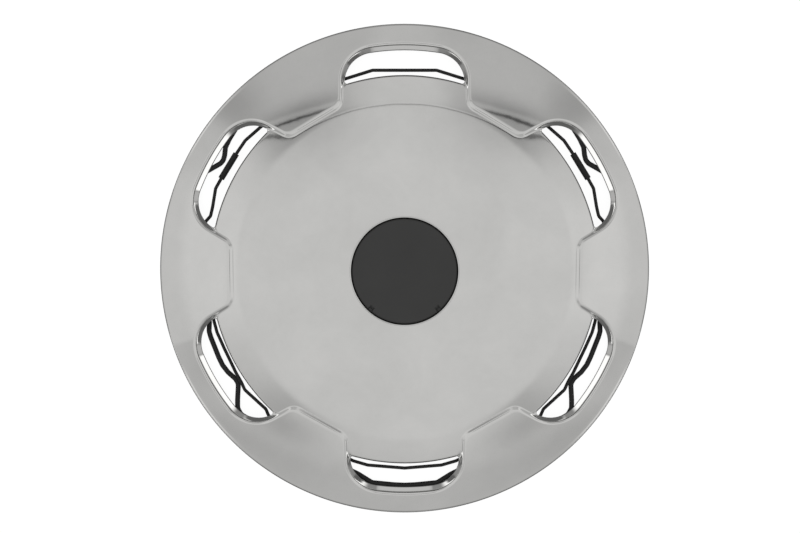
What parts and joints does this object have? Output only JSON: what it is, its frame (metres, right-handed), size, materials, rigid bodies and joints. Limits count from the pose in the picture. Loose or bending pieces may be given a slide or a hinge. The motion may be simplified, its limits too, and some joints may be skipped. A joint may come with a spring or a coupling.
{
  "type": "wheel cover",
  "caption": "Polished stainless cover for a truck or bus wheel: domed dish, windowed outer band, black centre cap, and sprung wires behind that grip the wheel.",
  "frame": {"origin": "centre of the circle on which the rolled rim rests, in the rim's plane", "axes": "+Z outboard through the centre cap, +Y through the middle of the top window"},
  "size_m": [0.57, 0.57, 0.0764],
  "materials": {
    "stainless": "polished stainless sheet",
    "cap_plastic": "fine moulded grain",
    "black_wire": "black coated spring wire",
    "black_sleeve": "black coated crimp sleeve",
    "bracket_steel": "plain rolled stainless strip"
  },
  "bodies": {
    "root": {"cover_shell": "stainless", "centre_cap": "cap_plastic", "clamp_wire": "black_wire", "upper_ring_wire": "black_wire", "lower_ring_wire": "black_wire", "left_sleeve": "black_sleeve", "right_sleeve": "black_sleeve", "bracket_right": "bracket_steel", "bracket_upper_right": "bracket_steel", "bracket_upper_left": "bracket_steel", "bracket_left": "bracket_steel", "bracket_lower_left": "bracket_steel", "bracket_lower_right": "bracket_steel"}
  },
  "joints": []
}
